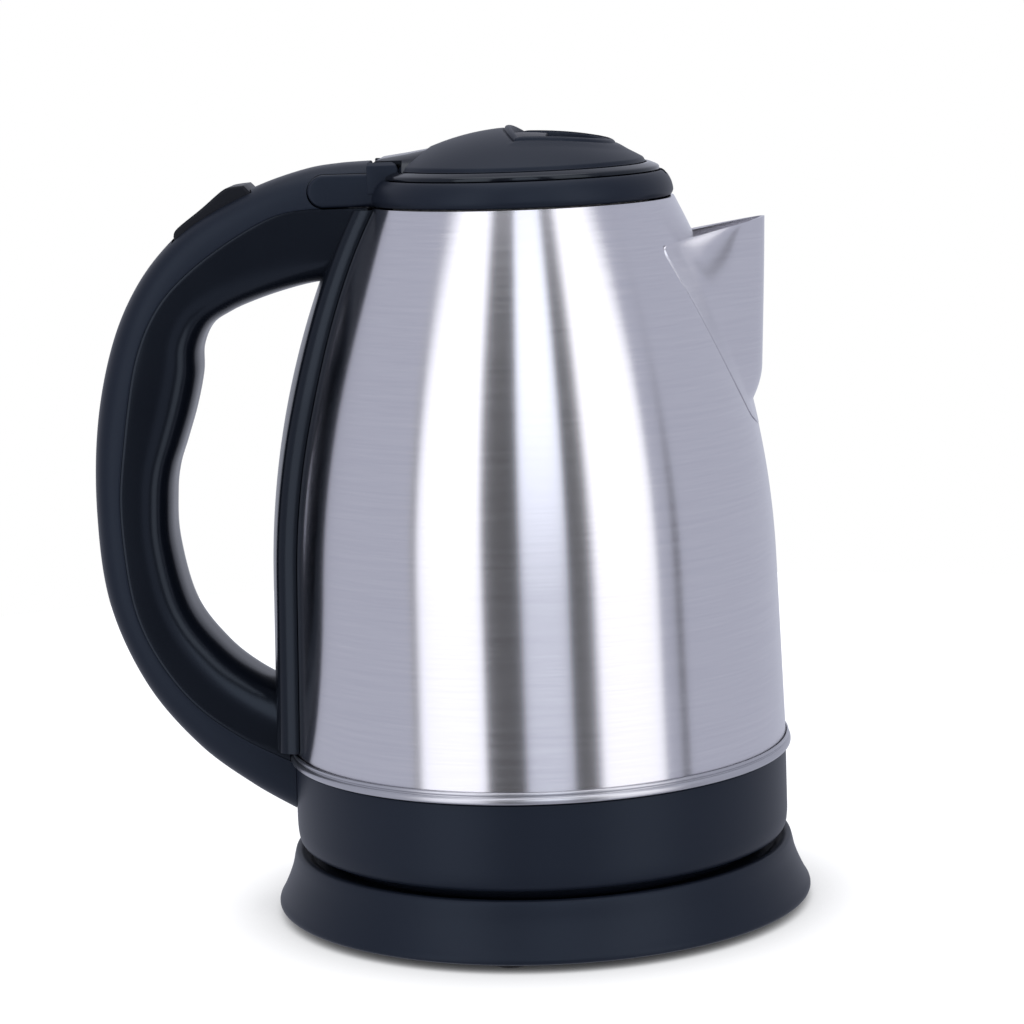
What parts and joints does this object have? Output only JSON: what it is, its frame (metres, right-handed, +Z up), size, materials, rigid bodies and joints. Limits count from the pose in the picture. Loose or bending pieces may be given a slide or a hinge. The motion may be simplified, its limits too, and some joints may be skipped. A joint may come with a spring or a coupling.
{
  "type": "electric kettle",
  "caption": "Cordless electric kettle: brushed steel jug with a V spout, black lid, looped handle with rocker switch and skirt, on a round swivel power base.",
  "frame": {"origin": "on the jug's axis, at the centre of the power base's underside, at table level", "axes": "+Z up along the jug's axis, +X towards the spout, -X towards the handle"},
  "size_m": [0.209, 0.16, 0.232],
  "materials": {
    "black_plastic": "satin moulded",
    "gloss_black_plastic": "polished moulded",
    "brushed_steel": "fine horizontal brush",
    "plain_steel": "plain",
    "cast_aluminium": "as cast",
    "contact_brass": "plain",
    "white_plastic": "moulded",
    "rubber": "matt",
    "silicone": "matt"
  },
  "bodies": {
    "power_base": {"base_shell": "black_plastic", "base_bottom_plate": "black_plastic", "base_screw_1": "plain_steel", "base_screw_2": "plain_steel", "base_screw_3": "plain_steel", "base_foot_1": "rubber", "base_foot_2": "rubber", "base_foot_3": "rubber", "base_foot_4": "rubber", "base_socket": "black_plastic", "cord_gland": "rubber"},
    "connector": {"kettle_connector": "contact_brass"},
    "jug": {"body_shell": "brushed_steel", "seam_ring": "brushed_steel", "spout": "brushed_steel", "spout_filter": "plain_steel", "heater_plate": "plain_steel", "heat_spreader": "cast_aluminium", "heating_element": "cast_aluminium", "thermal_control": "white_plastic", "skirt": "black_plastic", "bottom_cover": "black_plastic", "cover_screw_1": "plain_steel", "cover_screw_2": "plain_steel", "cover_screw_3": "plain_steel", "handle_outer": "black_plastic", "handle_inner": "black_plastic", "handle_screw": "plain_steel", "steam_thermostat": "white_plastic", "switch_pin": "plain_steel", "lid_collar": "black_plastic", "lid_hinge_pin": "plain_steel"},
    "switch": {"power_switch": "gloss_black_plastic"},
    "lid": {"lid_dome": "black_plastic", "lid_rim": "gloss_black_plastic", "lid_liner": "plain_steel", "lid_seal": "silicone", "lid_screw_1": "plain_steel", "lid_screw_2": "plain_steel", "latch_spring": "plain_steel"},
    "latch": {"lid_latch": "gloss_black_plastic"}
  },
  "joints": [
    {"name": "jug_lift", "type": "slide", "parent": "power_base", "child": "connector", "axis": [0, 0, 1], "range_m": [0, 0.1]},
    {"name": "jug_swivel", "type": "hinge", "parent": "connector", "child": "jug", "pos_m": [0, 0, 0.03], "axis": [0, 0, 1], "continuous": true},
    {"name": "switch_rocker", "type": "hinge", "parent": "jug", "child": "switch", "pos_m": [-0.0965, 0, 0.2], "axis": [0, 1, 0], "range_deg": [0, 10]},
    {"name": "lid_hinge", "type": "hinge", "parent": "jug", "child": "lid", "pos_m": [-0.038, 0, 0.2195], "axis": [0, -1, 0], "range_deg": [0, 75]},
    {"name": "latch_slide", "type": "slide", "parent": "lid", "child": "latch", "axis": [-1, 0, 0], "range_m": [0, 0.004], "stiffness_N_per_m": 300, "springref_m": -0.002, "deforming": ["latch_spring"]}
  ]
}
